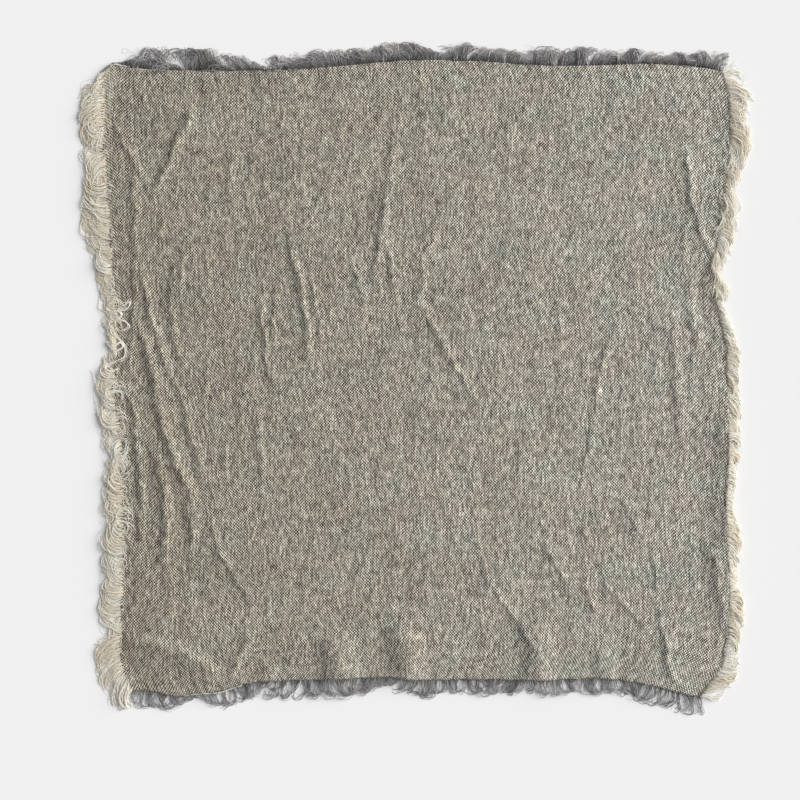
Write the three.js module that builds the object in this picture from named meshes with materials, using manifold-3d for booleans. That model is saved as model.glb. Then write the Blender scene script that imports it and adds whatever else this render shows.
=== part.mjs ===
// A table napkin of plain-woven linen, lying open on a flat surface, frayed to a fringe on all four sides.
// Millimetres, +Z up. The weft runs along X and frays at the left and right. The warp runs along Y and
// frays at the top (+Y) and bottom. The underside rests on z = 0, with the origin under the middle.
import * as THREE from "three";
import Module from "manifold-3d";

const wasm = await Module();
wasm.setup();

// Driving dimensions
const WOVEN_WIDTH = 454; // straight sides that the woven edges bow inside of
const WOVEN_LENGTH = 460;
const CLOTH_THICKNESS = 1.5;
const PIECE_GAP = 0.3; // between the cloth's edge and the strip that holds a fringe
const STRIP_WIDTH = 2.4; // the last few threads, which hold the fringe's roots
const STRIP_TRIM = 1.5; // that a strip stops short of the corners
const LOCKS_A_SIDE = 54;
const LOCK_HEIGHT = 3.2; // of a lock at its fullest
const LOCK_SHARE = 0.41; // half a lock's width, as a share of the spacing between locks
const LOCK_SWAY = 0.28; // how far a lock's tip leans along the edge, as a share of its reach
const SWAY_WAVE = 84; // along the edge, from one lean to the next lean the same way
const ROOT_ABOVE = 0.3; // a lock's root lies inside the strip, above its underside

// The cloth's grid: columns crowd to the left, where the long folds lie.
const COLUMNS = 54;
const ROWS = 34;
const LEFT_COLUMN_SHARE = 0.55; // width of the leftmost column, against an even one

const COLOURS = { cloth: 0x95907f, cream: 0xd8cdb4, grey: 0x75716f };

// Corners of the woven area, from the straight sides' top left corner.
const CORNERS = {
  topLeft: { across: 1.4, down: 9.4 },
  topRight: { across: 448, down: 9.4 },
  bottomLeft: { across: 23, down: 454.3 },
  bottomRight: { across: 432, down: 459.4 },
};

// How far inside its straight side each woven edge lies, along from the side's left or top end.
const INSETS = {
  top: [
    { along: 9, inset: 4.3 },
    { along: 18, inset: 5.8 },
    { along: 32, inset: 7.9 },
    { along: 72, inset: 8.3 },
    { along: 122, inset: 8.3 },
    { along: 151, inset: 6.8 },
    { along: 180, inset: 4.7 },
    { along: 209, inset: 1.8 },
    { along: 238, inset: 0.7 },
    { along: 266, inset: 1.4 },
    { along: 295, inset: 3.2 },
    { along: 324, inset: 5 },
    { along: 360, inset: 4.7 },
    { along: 389, inset: 3.6 },
    { along: 418, inset: 5 },
    { along: 436, inset: 6.8 },
  ],
  bottom: [
    { along: 36, inset: 5 },
    { along: 54, inset: 1.4 },
    { along: 68, inset: 2.8 },
    { along: 86, inset: 5 },
    { along: 101, inset: 9.3 },
    { along: 122, inset: 12.2 },
    { along: 158, inset: 13.2 },
    { along: 202, inset: 15 },
    { along: 230, inset: 12.9 },
    { along: 274, inset: 13.6 },
    { along: 317, inset: 12.9 },
    { along: 353, inset: 14.3 },
    { along: 374, inset: 12.9 },
    { along: 396, inset: 9.3 },
    { along: 418, inset: 3.5 },
  ],
  left: [
    { along: 58, inset: 2.2 },
    { along: 87, inset: 3.6 },
    { along: 109, inset: 5.8 },
    { along: 130, inset: 7.2 },
    { along: 159, inset: 7.2 },
    { along: 181, inset: 9.4 },
    { along: 202, inset: 10.8 },
    { along: 231, inset: 7.9 },
    { along: 253, inset: 11.5 },
    { along: 274, inset: 14.4 },
    { along: 303, inset: 14.4 },
    { along: 332, inset: 17.3 },
    { along: 353, inset: 16.6 },
    { along: 382, inset: 15.1 },
    { along: 404, inset: 15.1 },
    { along: 425, inset: 14.4 },
    { along: 443, inset: 17.3 },
  ],
  right: [
    { along: 19, inset: 2.9 },
    { along: 30, inset: 0.7 },
    { along: 58, inset: 0 },
    { along: 80, inset: 1.4 },
    { along: 101, inset: 5 },
    { along: 123, inset: 7.9 },
    { along: 137, inset: 10.1 },
    { along: 148, inset: 13.7 },
    { along: 163, inset: 10.8 },
    { along: 177, inset: 8.6 },
    { along: 191, inset: 5.8 },
    { along: 209, inset: 2.2 },
    { along: 231, inset: 2.2 },
    { along: 260, inset: 1.4 },
    { along: 289, inset: 1.4 },
    { along: 318, inset: 2.9 },
    { along: 346, inset: 2.2 },
    { along: 375, inset: 0.7 },
    { along: 397, inset: 1.4 },
    { along: 418, inset: 2.9 },
    { along: 433, inset: 5 },
    { along: 441, inset: 7.9 },
    { along: 449, inset: 14.4 },
  ],
};

// How far each fringe stands out of its woven edge, along as above. It is worn away in places.
const REACHES = {
  top: [
    { along: 6, reach: 3 },
    { along: 11, reach: 6 },
    { along: 18, reach: 11.5 },
    { along: 29, reach: 18 },
    { along: 58, reach: 15 },
    { along: 65, reach: 16.8 },
    { along: 108, reach: 13.3 },
    { along: 114, reach: 8.3 },
    { along: 122, reach: 4 },
    { along: 130, reach: 14.4 },
    { along: 144, reach: 12.2 },
    { along: 176, reach: 13.6 },
    { along: 195, reach: 11.9 },
    { along: 227, reach: 14.8 },
    { along: 238, reach: 12.2 },
    { along: 248, reach: 4.6 },
    { along: 259, reach: 14.2 },
    { along: 281, reach: 10 },
    { along: 294, reach: 12.5 },
    { along: 299, reach: 5 },
    { along: 315, reach: 15.3 },
    { along: 324, reach: 11.5 },
    { along: 353, reach: 14 },
    { along: 367, reach: 9.4 },
    { along: 380, reach: 13.2 },
    { along: 400, reach: 7.7 },
    { along: 410, reach: 13.3 },
    { along: 425, reach: 8 },
    { along: 432, reach: 14.4 },
    { along: 446, reach: 14 },
  ],
  bottom: [
    { along: 25, reach: 9.4 },
    { along: 32, reach: 14.6 },
    { along: 58, reach: 6.8 },
    { along: 67, reach: 3 },
    { along: 76, reach: 9.5 },
    { along: 86, reach: 13 },
    { along: 103, reach: 15 },
    { along: 109, reach: 7.4 },
    { along: 119, reach: 14.6 },
    { along: 173, reach: 15.3 },
    { along: 187, reach: 14.6 },
    { along: 202, reach: 11.5 },
    { along: 216, reach: 6.8 },
    { along: 227, reach: 10.4 },
    { along: 241, reach: 13.8 },
    { along: 252, reach: 9.7 },
    { along: 274, reach: 13 },
    { along: 302, reach: 11.7 },
    { along: 310, reach: 8.8 },
    { along: 328, reach: 14 },
    { along: 338, reach: 9.5 },
    { along: 353, reach: 14.4 },
    { along: 367, reach: 9.9 },
    { along: 378, reach: 11.7 },
    { along: 389, reach: 10.6 },
    { along: 396, reach: 14.4 },
    { along: 430, reach: 14.4 },
  ],
  left: [
    { along: 8, reach: 8.6 },
    { along: 24, reach: 18 },
    { along: 37, reach: 15.8 },
    { along: 65, reach: 16.9 },
    { along: 87, reach: 15 },
    { along: 116, reach: 20.5 },
    { along: 130, reach: 20 },
    { along: 145, reach: 16.6 },
    { along: 159, reach: 10 },
    { along: 173, reach: 9.4 },
    { along: 195, reach: 12 },
    { along: 209, reach: 5 },
    { along: 224, reach: 8.6 },
    { along: 245, reach: 17.5 },
    { along: 260, reach: 16.7 },
    { along: 303, reach: 14.4 },
    { along: 332, reach: 18 },
    { along: 353, reach: 18 },
    { along: 375, reach: 15.5 },
    { along: 411, reach: 18 },
    { along: 433, reach: 18.4 },
    { along: 452, reach: 16.6 },
  ],
  right: [
    { along: 8, reach: 12 },
    { along: 19, reach: 16.6 },
    { along: 30, reach: 13 },
    { along: 58, reach: 15.8 },
    { along: 69, reach: 10.8 },
    { along: 80, reach: 10 },
    { along: 94, reach: 14.4 },
    { along: 116, reach: 11.5 },
    { along: 141, reach: 13 },
    { along: 152, reach: 13.7 },
    { along: 166, reach: 8 },
    { along: 173, reach: 5 },
    { along: 188, reach: 7.2 },
    { along: 224, reach: 10 },
    { along: 260, reach: 10.8 },
    { along: 289, reach: 7.2 },
    { along: 303, reach: 6.5 },
    { along: 321, reach: 5 },
    { along: 332, reach: 11 },
    { along: 346, reach: 10 },
    { along: 361, reach: 4.5 },
    { along: 375, reach: 6.5 },
    { along: 389, reach: 12.7 },
    { along: 425, reach: 9 },
    { along: 440, reach: 12 },
    { along: 454, reach: 14.4 },
  ],
};

// The main folds: soft ridges through three points, from the straight sides' top left corner.
// In order: four on the left, top left, two at the bottom left, left of centre, two in the centre, right of
// centre, four along the right edge, bottom right corner, and four ripples of the bottom edge.
const FOLDS = [
  { from: [24, 76], mid: [27, 130], to: [38, 205], halfWidth: 9, height: 1.6 },
  { from: [33, 188], mid: [50, 256], to: [68, 355], halfWidth: 11, height: 3.4 },
  { from: [40, 280], mid: [49, 328], to: [45, 382], halfWidth: 10, height: 3 },
  { from: [24, 228], mid: [28, 290], to: [30, 355], halfWidth: 8, height: 1.4 },
  { from: [66, 37], mid: [55, 63], to: [42, 88], halfWidth: 10, height: 2.4 },
  { from: [13, 413], mid: [52, 421], to: [91, 444], halfWidth: 13, height: 2.6 },
  { from: [96, 444], mid: [102, 428], to: [107, 413], halfWidth: 10, height: 1.6 },
  { from: [135, 130], mid: [145, 171], to: [150, 224], halfWidth: 10, height: 1.8 },
  { from: [215, 38], mid: [206, 104], to: [196, 162], halfWidth: 12, height: 1.5 },
  { from: [240, 189], mid: [251, 211], to: [265, 241], halfWidth: 11, height: 1.3 },
  { from: [374, 189], mid: [359, 217], to: [350, 283], halfWidth: 12, height: 1 },
  { from: [424, 58], mid: [433, 120], to: [444, 184], halfWidth: 11, height: 2 },
  { from: [425, 112], mid: [426, 152], to: [432, 211], halfWidth: 10, height: 1.3 },
  { from: [453, 264], mid: [454, 303], to: [452, 343], halfWidth: 24.5, height: 2 },
  { from: [441, 343], mid: [445, 379], to: [452, 418], halfWidth: 10, height: 1.3 },
  { from: [408, 414], mid: [408, 431], to: [415, 451], halfWidth: 10, height: 1.5 },
  { from: [168, 410], mid: [171, 433], to: [172, 456], halfWidth: 17.3, height: 2.6 },
  { from: [217, 402], mid: [221, 429], to: [222, 456], halfWidth: 15.8, height: 2.6 },
  { from: [310, 400], mid: [315, 429], to: [315, 456], halfWidth: 15.1, height: 2.8 },
  { from: [358, 417], mid: [363, 436], to: [364, 457], halfWidth: 10.8, height: 1.8 },
];
const FOLD_STEPS = 10; // straight steps that stand for a fold's curve

// A lock's sections from root to tip: how far out, how wide and how high it is there.
const LOCK_SECTIONS = [
  { out: 0, width: 0.8, height: 0.28 },
  { out: 0.5, width: 1, height: 1 },
  { out: 1, width: 0.5, height: 0.36 },
];

// Outward direction of each side's straight line, and the two corners that it joins.
const SIDES = {
  top: { outward: [0, 1], start: "topLeft", end: "topRight" },
  bottom: { outward: [0, -1], start: "bottomLeft", end: "bottomRight" },
  left: { outward: [-1, 0], start: "topLeft", end: "bottomLeft" },
  right: { outward: [1, 0], start: "topRight", end: "bottomRight" },
};

// A place measured from the straight sides' top left corner, in the napkin's own axes.
function place(across, down) {
  return new THREE.Vector2(across - WOVEN_WIDTH / 2, WOVEN_LENGTH / 2 - down);
}

// A point of a side's table, a given distance inside the straight side.
function insetPlace(side, along, inset) {
  if (side === "top") return place(along, inset);
  if (side === "bottom") return place(along, WOVEN_LENGTH - inset);
  if (side === "left") return place(inset, along);
  return place(WOVEN_WIDTH - inset, along);
}

// The woven edge of one side, from its start corner to its end corner.
function edgeCurve(side) {
  const corner = (name) => place(CORNERS[name].across, CORNERS[name].down);
  const between = INSETS[side].map(({ along, inset }) => insetPlace(side, along, inset));
  return new THREE.SplineCurve([corner(SIDES[side].start), ...between, corner(SIDES[side].end)]);
}

const edges = Object.fromEntries(Object.keys(SIDES).map((side) => [side, edgeCurve(side)]));

// The edge's own direction out of the cloth at a share u of its length.
function outwardAt(side, u) {
  const tangent = edges[side].getTangentAt(u);
  const normal = new THREE.Vector2(-tangent.y, tangent.x);
  const straight = new THREE.Vector2(...SIDES[side].outward);
  return normal.dot(straight) < 0 ? normal.negate() : normal;
}

// A fold as straight steps along the curve that passes through its three points.
function foldLine({ from, mid, to, halfWidth, height }) {
  const [start, middle, end] = [from, mid, to].map(([across, down]) => place(across, down));
  const control = middle.clone().multiplyScalar(2).addScaledVector(start, -0.5).addScaledVector(end, -0.5);
  const points = new THREE.QuadraticBezierCurve(start, control, end).getPoints(FOLD_STEPS);
  return { points, halfWidth, height };
}

const foldLines = FOLDS.map(foldLine);

// The height of one fold at a point: a round crest that dies out at both ends.
function foldHeight({ points, halfWidth, height }, point) {
  let nearest = { distance: Infinity, share: 0 };
  for (let i = 0; i < FOLD_STEPS; i++) {
    const step = points[i + 1].clone().sub(points[i]);
    const reached = point.clone().sub(points[i]).dot(step) / step.lengthSq();
    const share = THREE.MathUtils.clamp(reached, 0, 1);
    const distance = point.distanceTo(points[i].clone().addScaledVector(step, share));
    if (distance < nearest.distance) nearest = { distance, share: (i + share) / FOLD_STEPS };
  }
  if (nearest.distance >= halfWidth) return 0;
  const across = (1 - (nearest.distance / halfWidth) ** 2) ** 2;
  const lengthwise = 1 - (2 * nearest.share - 1) ** 4;
  return height * across * lengthwise;
}

// How far the folds lift the cloth off the surface at a point.
function liftAt(point) {
  return foldLines.reduce((sum, fold) => sum + foldHeight(fold, point), 0);
}

// The share of the width at which a column lies.
function columnShare(column) {
  const u = column / COLUMNS;
  return u * (LEFT_COLUMN_SHARE + (1 - LEFT_COLUMN_SHARE) * u);
}

// The shares at which an edge is broken into straight lengths, for the cloth and its fringe strip alike.
function edgeShares(side) {
  if (side === "top" || side === "bottom") {
    return Array.from({ length: COLUMNS + 1 }, (_, column) => columnShare(column));
  }
  return Array.from({ length: ROWS + 1 }, (_, row) => row / ROWS);
}

const edgePoints = Object.fromEntries(
  Object.keys(SIDES).map((side) => [side, edgeShares(side).map((u) => edges[side].getPointAt(u))]),
);

// A point of the cloth's grid, blended between the four woven edges.
function gridPoint(column, row) {
  const { top, bottom, left, right } = edgePoints;
  const s = columnShare(column);
  const t = row / ROWS;
  const point = new THREE.Vector2();
  point.addScaledVector(top[column], 1 - t).addScaledVector(bottom[column], t);
  point.addScaledVector(left[row], 1 - s).addScaledVector(right[row], s);
  point.addScaledVector(top[0], (s - 1) * (1 - t)).addScaledVector(top[COLUMNS], -s * (1 - t));
  point.addScaledVector(bottom[0], (s - 1) * t).addScaledVector(bottom[COLUMNS], -s * t);
  return point;
}

// A closed solid from points and triangles that share them.
function solidOf(points, triangles) {
  return new wasm.Manifold(
    new wasm.Mesh({
      numProp: 3,
      vertProperties: new Float32Array(points.flat()),
      triVerts: new Uint32Array(triangles.flat()),
    }),
  );
}

// The two triangles of a quad whose corners run round it.
function quad(a, b, c, d) {
  return [
    [a, b, c],
    [a, c, d],
  ];
}

// The woven cloth: a sheet of even thickness over the folds' lift.
function clothSolid() {
  const points = [];
  for (const above of [0, CLOTH_THICKNESS]) {
    for (let row = 0; row <= ROWS; row++) {
      for (let column = 0; column <= COLUMNS; column++) {
        const point = gridPoint(column, row);
        points.push([point.x, point.y, liftAt(point) + above]);
      }
    }
  }
  const under = (column, row) => row * (COLUMNS + 1) + column;
  const upper = (column, row) => under(column, row) + (ROWS + 1) * (COLUMNS + 1);
  const triangles = [];
  for (let row = 0; row < ROWS; row++) {
    for (let column = 0; column < COLUMNS; column++) {
      const corners = [
        [column, row],
        [column, row + 1],
        [column + 1, row + 1],
        [column + 1, row],
      ];
      triangles.push(...quad(...corners.map(([c, r]) => upper(c, r))));
      triangles.push(...quad(...corners.reverse().map(([c, r]) => under(c, r))));
    }
  }
  for (let column = 0; column < COLUMNS; column++) {
    const next = column + 1;
    triangles.push(...quad(under(column, 0), upper(column, 0), upper(next, 0), under(next, 0)));
    triangles.push(...quad(under(next, ROWS), upper(next, ROWS), upper(column, ROWS), under(column, ROWS)));
  }
  for (let row = 0; row < ROWS; row++) {
    const next = row + 1;
    const [first, last] = [0, COLUMNS];
    triangles.push(...quad(under(first, next), upper(first, next), upper(first, row), under(first, row)));
    triangles.push(...quad(under(last, row), upper(last, row), upper(last, next), under(last, next)));
  }
  return solidOf(points, triangles);
}

// A row of rings of points, joined into a closed tube with flat ends.
function tubeSolid(rings) {
  const sides = rings[0].length;
  const triangles = [];
  for (let i = 0; i + 1 < rings.length; i++) {
    for (let k = 0; k < sides; k++) {
      const next = (k + 1) % sides;
      const [here, beyond] = [i * sides, (i + 1) * sides];
      triangles.push(...quad(here + k, here + next, beyond + next, beyond + k));
    }
  }
  const last = (rings.length - 1) * sides;
  for (let k = 1; k + 1 < sides; k++) {
    triangles.push([0, k + 1, k], [last, last + k, last + k + 1]);
  }
  const made = solidOf(rings.flat(), triangles);
  return made.volume() > 0 ? made : solidOf(rings.flat(), triangles.map(([a, b, c]) => [a, c, b]));
}

// The strip of last threads that runs beside a woven edge and holds the fringe's roots.
function stripSolid(side) {
  const trim = STRIP_TRIM / edges[side].getLength();
  const rings = edgeShares(side).map((share) => {
    const u = THREE.MathUtils.clamp(share, trim, 1 - trim);
    const edge = edges[side].getPointAt(u);
    const outward = outwardAt(side, u);
    const inner = edge.clone().addScaledVector(outward, PIECE_GAP);
    const outer = edge.clone().addScaledVector(outward, PIECE_GAP + STRIP_WIDTH);
    const [low, high] = [liftAt(edge), liftAt(edge) + CLOTH_THICKNESS];
    return [
      [inner.x, inner.y, low],
      [outer.x, outer.y, low],
      [outer.x, outer.y, high],
      [inner.x, inner.y, high],
    ];
  });
  return tubeSolid(rings);
}

// A value between the rows of a table, by distance along the side.
function readTable(rows, along, column) {
  const next = rows.findIndex((row) => row.along > along);
  if (next === 0) return rows[0][column];
  if (next < 0) return rows.at(-1)[column];
  const [before, after] = [rows[next - 1], rows[next]];
  return THREE.MathUtils.mapLinear(along, before.along, after.along, before[column], after[column]);
}

// Distance of a point along its straight side, as the tables count it.
function alongSide(side, point) {
  return side === "top" || side === "bottom" ? point.x + WOVEN_WIDTH / 2 : WOVEN_LENGTH / 2 - point.y;
}

// One lock of the fringe: a three-sided tuft that leaves the strip and lies level on the surface.
function lockSolid(side, u, spacing) {
  const edge = edges[side].getPointAt(u);
  const outward = outwardAt(side, u);
  const sideways = new THREE.Vector2(-outward.y, outward.x);
  const along = alongSide(side, edge);
  const reach = readTable(REACHES[side], along, "reach");
  const lean = LOCK_SWAY * reach * Math.sin((2 * Math.PI * along) / SWAY_WAVE);
  const root = edge.clone().addScaledVector(outward, PIECE_GAP + STRIP_WIDTH / 2);
  const travel = reach - PIECE_GAP - STRIP_WIDTH / 2;
  const lift = liftAt(edge);
  const rings = LOCK_SECTIONS.map(({ out, width, height }, i) => {
    const centre = root.clone().addScaledVector(outward, travel * out);
    centre.addScaledVector(sideways, lean * out ** 2);
    const half = width * LOCK_SHARE * spacing;
    const left = centre.clone().addScaledVector(sideways, half);
    const right = centre.clone().addScaledVector(sideways, -half);
    const low = i === 0 ? lift + ROOT_ABOVE : 0;
    return [
      [left.x, left.y, low],
      [right.x, right.y, low],
      [centre.x, centre.y, low + height * LOCK_HEIGHT],
    ];
  });
  return tubeSolid(rings);
}

// One side's fringe: its strip with every lock's root fused into it.
function fringeSolid(side) {
  const spacing = edges[side].getLength() / LOCKS_A_SIDE;
  let fringe = stripSolid(side);
  for (let lock = 0; lock < LOCKS_A_SIDE; lock++) {
    fringe = fringe.add(lockSolid(side, (lock + 0.5) / LOCKS_A_SIDE, spacing));
  }
  return fringe;
}

// A named mesh of a solid, in one colour of linen.
function linenMesh(name, solid, colour) {
  const { vertProperties, triVerts } = solid.getMesh();
  const geometry = new THREE.BufferGeometry();
  geometry.setAttribute("position", new THREE.BufferAttribute(vertProperties, 3));
  geometry.setIndex(new THREE.BufferAttribute(triVerts, 1));
  geometry.computeVertexNormals();
  const linen = new THREE.MeshStandardMaterial({ color: colour, roughness: 0.95, metalness: 0 });
  const mesh = new THREE.Mesh(geometry, linen);
  mesh.name = name;
  return mesh;
}

const napkin = new THREE.Group();
napkin.add(linenMesh("woven_cloth", clothSolid(), COLOURS.cloth));
napkin.add(linenMesh("fringe_top", fringeSolid("top"), COLOURS.grey));
napkin.add(linenMesh("fringe_bottom", fringeSolid("bottom"), COLOURS.grey));
napkin.add(linenMesh("fringe_left", fringeSolid("left"), COLOURS.cream));
napkin.add(linenMesh("fringe_right", fringeSolid("right"), COLOURS.cream));

// The worn edges aren't symmetric, so the whole napkin is centred over its origin.
const middle = new THREE.Box3().setFromObject(napkin).getCenter(new THREE.Vector3());
napkin.position.set(-middle.x, -middle.y, 0);

export default napkin;
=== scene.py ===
"""A fringed linen napkin that lies open on a pale floor.

The tables are in millimetres, across from the left and down from the top of the straight sides that the
woven edges bow inside of. Blender's own lengths are metres.
"""

import logging
import math
from dataclasses import dataclass
from enum import Enum
from typing import Any, NamedTuple

import bpy
import numpy as np
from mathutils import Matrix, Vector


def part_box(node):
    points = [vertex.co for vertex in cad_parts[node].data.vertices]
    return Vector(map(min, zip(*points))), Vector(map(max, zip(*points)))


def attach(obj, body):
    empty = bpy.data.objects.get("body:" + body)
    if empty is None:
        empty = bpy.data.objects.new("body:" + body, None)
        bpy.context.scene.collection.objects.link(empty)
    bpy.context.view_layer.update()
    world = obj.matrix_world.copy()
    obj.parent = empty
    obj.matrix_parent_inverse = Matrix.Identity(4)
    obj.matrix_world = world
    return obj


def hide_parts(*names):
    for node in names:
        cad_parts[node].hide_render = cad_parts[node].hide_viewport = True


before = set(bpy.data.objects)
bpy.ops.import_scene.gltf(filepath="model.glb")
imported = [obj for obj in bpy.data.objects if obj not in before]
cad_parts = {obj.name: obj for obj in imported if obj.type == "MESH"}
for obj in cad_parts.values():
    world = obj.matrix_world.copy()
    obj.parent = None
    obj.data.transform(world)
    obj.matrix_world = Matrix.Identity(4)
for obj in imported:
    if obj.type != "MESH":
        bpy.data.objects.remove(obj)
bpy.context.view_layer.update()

log = logging.getLogger("napkin")

MM = 0.001
BODY = "root"
CLOTH_NODE = "woven_cloth"


class Side(Enum):
    """The napkin's four frayed sides."""

    TOP = "top"
    BOTTOM = "bottom"
    LEFT = "left"
    RIGHT = "right"

    @property
    def outward(self) -> tuple[float, float]:
        """The straight side's direction out of the cloth, in scene axes."""
        return {"top": (0, 1), "bottom": (0, -1), "left": (-1, 0), "right": (1, 0)}[self.value]

    @property
    def upright(self) -> bool:
        """Whether the side runs down the cloth, and not across it."""
        return self in (Side.LEFT, Side.RIGHT)


class InsetRow(NamedTuple):
    """How far inside its straight side a woven edge lies, along from the side's left or top end."""

    along: float
    inset: float


class FrayRow(NamedTuple):
    """How a side is frayed: the fringe's reach, its lean along the side and its curl, both in degrees."""

    along: float
    reach: float
    lean: float
    curl: float


class Crest(Enum):
    """How a crease turns over at its crest, as a rounding radius over its half width."""

    PINCHED = 0.12
    SOFT = 0.35
    ROUND = 0.9


class Crease(NamedTuple):
    """A ridge, or a dip where its height is negative, through three points.

    The far flank is the one on the right of its run, given as times the other flank's half width.
    """

    start: tuple[float, float]
    mid: tuple[float, float]
    end: tuple[float, float]
    half_width: float
    height: float
    crest: Crest = Crest.PINCHED
    far_flank: float = 1.0


class PressLine(NamedTuple):
    """What is left of an ironed fold: a low, long-sided ridge."""

    start: tuple[float, float]
    end: tuple[float, float]
    fade: float
    height: float


class EdgeThread(NamedTuple):
    """A thread that lies loose along an edge, from one distance along the side to another."""

    side: Side
    start: float
    end: float
    out: float


def table_rows(kind: type, *values: tuple[float, ...]) -> tuple[Any, ...]:
    """Makes a table's rows of one kind, each from its values in the order of its fields."""
    return tuple(kind(*row) for row in values)


TOP_LEFT = (1.4, 9.4)
TOP_RIGHT = (448.0, 9.4)
BOTTOM_LEFT = (23.0, 454.3)
BOTTOM_RIGHT = (432.0, 459.4)
ENDS = {
    Side.TOP: (TOP_LEFT, TOP_RIGHT),
    Side.BOTTOM: (BOTTOM_LEFT, BOTTOM_RIGHT),
    Side.LEFT: (TOP_LEFT, BOTTOM_LEFT),
    Side.RIGHT: (TOP_RIGHT, BOTTOM_RIGHT),
}

INSETS = {
    Side.TOP: table_rows(
        InsetRow, (9, 4.3), (18, 5.8), (32, 7.9), (72, 8.3), (122, 8.3), (151, 6.8), (180, 4.7), (209, 1.8),
        (238, 0.7), (266, 1.4), (295, 3.2), (324, 5), (360, 4.7), (389, 3.6), (418, 5), (436, 6.8),
    ),
    Side.BOTTOM: table_rows(
        InsetRow, (36, 5), (54, 1.4), (68, 2.8), (86, 5), (101, 9.3), (122, 12.2), (158, 13.2), (202, 15),
        (230, 12.9), (274, 13.6), (317, 12.9), (353, 14.3), (374, 12.9), (396, 9.3), (418, 3.5),
    ),
    Side.LEFT: table_rows(
        InsetRow, (58, 2.2), (87, 3.6), (109, 5.8), (130, 7.2), (159, 7.2), (181, 9.4), (202, 10.8),
        (231, 7.9), (253, 11.5), (274, 14.4), (303, 14.4), (332, 17.3), (353, 16.6), (382, 15.1),
        (404, 15.1), (425, 14.4), (443, 17.3),
    ),
    Side.RIGHT: table_rows(
        InsetRow, (19, 2.9), (30, 0.7), (58, 0), (80, 1.4), (101, 5), (123, 7.9), (137, 10.1), (148, 13.7),
        (163, 10.8), (177, 8.6), (191, 5.8), (209, 2.2), (231, 2.2), (260, 1.4), (289, 1.4), (318, 2.9),
        (346, 2.2), (375, 0.7), (397, 1.4), (418, 2.9), (433, 5), (441, 7.9), (449, 14.4),
    ),
}

FRAYS = {
    Side.TOP: table_rows(
        FrayRow, (6, 1, 0, 60), (11, 2, 0, 120), (18, 6, 0, 200), (22, 11, 0, 200), (29, 18, -5, 190),
        (58, 15, 0, 200), (65, 16.8, 0, 200), (86, 15.5, 0, 200), (108, 13.3, 5, 190), (114, 8.3, 5, 200),
        (118, 4, 0, 80), (127, 4, 0, 80), (130, 14.4, 0, 220), (144, 12.2, 0, 200), (176, 13.6, 0, 200),
        (195, 11.9, 0, 200), (209, 14, 0, 200), (227, 14.8, 0, 200), (238, 12.2, -5, 190),
        (243, 7.2, -5, 200), (248, 4.6, 0, 120), (253, 10.4, 0, 220), (259, 14.2, 0, 200),
        (281, 10, 0, 200), (294, 12.5, 0, 200), (299, 4.9, 0, 160), (306, 10.4, 0, 190),
        (315, 15.3, 0, 200), (324, 11.5, 0, 200), (353, 14, 0, 200), (367, 9.4, 0, 200),
        (380, 13.2, 0, 200), (400, 7.7, 0, 190), (410, 13.3, 0, 200), (425, 8, 0, 190), (432, 14.4, 5, 200),
        (440, 14, -10, 160), (447, 9, -20, 90),
    ),
    Side.BOTTOM: table_rows(
        FrayRow, (22, 9.4, -15, 120), (32, 14.6, -10, 160), (58, 6.8, 0, 180), (67, 2.5, 0, 80),
        (76, 9.5, 5, 150), (86, 13, 10, 160), (103, 15, 10, 160), (108, 7.4, 5, 150), (119, 14.6, 0, 200),
        (173, 15.3, 0, 200), (187, 14.6, 0, 200), (202, 11.5, 0, 200), (207, 8, 0, 200), (216, 6.8, 0, 200),
        (227, 10.4, 0, 200), (241, 13.8, 0, 200), (252, 9.7, 0, 200), (274, 13, 0, 200),
        (302, 11.7, 0, 200), (310, 8.8, 0, 200), (328, 14, 0, 200), (338, 9.5, 0, 200), (353, 14.4, 0, 200),
        (367, 9.9, 0, 200), (378, 11.7, 0, 200), (389, 10.6, 5, 180), (396, 14.4, 5, 160),
        (430, 14.4, 15, 120),
    ),
    Side.LEFT: table_rows(
        FrayRow, (9, 3, 35, 10), (13, 10, 18, 20), (18, 18, 10, 50), (24, 21, 4, 100), (37, 18, 0, 140),
        (65, 18, 0, 150), (87, 16.5, 0, 160), (116, 20.5, 5, 170), (130, 20, 10, 170), (145, 16.6, 10, 190),
        (159, 10, 10, 250), (173, 9.4, 0, 300), (195, 12, 0, 300), (209, 5, 5, 280), (224, 8.6, 15, 280),
        (245, 17.5, 10, 300), (260, 16.7, 10, 300), (303, 14.4, 10, 300), (332, 18, 10, 300),
        (353, 18, 10, 280), (375, 15.5, 15, 220), (400, 16, 20, 160), (411, 18, 18, 90),
        (433, 18.4, 16, 60), (452, 16.6, 18, 50),
    ),
    Side.RIGHT: table_rows(
        FrayRow, (8, 11, -40, 90), (14, 15, -25, 120), (19, 16.6, -10, 140), (30, 13, 0, 200),
        (58, 15.8, 0, 200), (69, 10.8, 10, 220), (80, 10, 10, 200), (94, 14.4, 10, 180),
        (116, 11.5, 15, 150), (141, 13, 25, 120), (152, 13.7, 25, 120), (166, 8, 20, 120),
        (173, 5, 15, 110), (188, 7.2, 15, 110), (224, 10, 15, 100), (260, 10.8, 15, 100),
        (289, 7.2, 12, 100), (303, 6.5, 12, 100), (321, 5, 12, 100), (332, 11, 15, 100), (346, 10, 15, 100),
        (361, 4.5, 15, 100), (375, 6.5, 15, 100), (389, 12.7, 12, 100), (411, 9.6, 10, 90),
        (425, 9, 10, 90), (440, 12, 5, 70), (454, 14.4, -5, 50),
    ),
}

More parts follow.
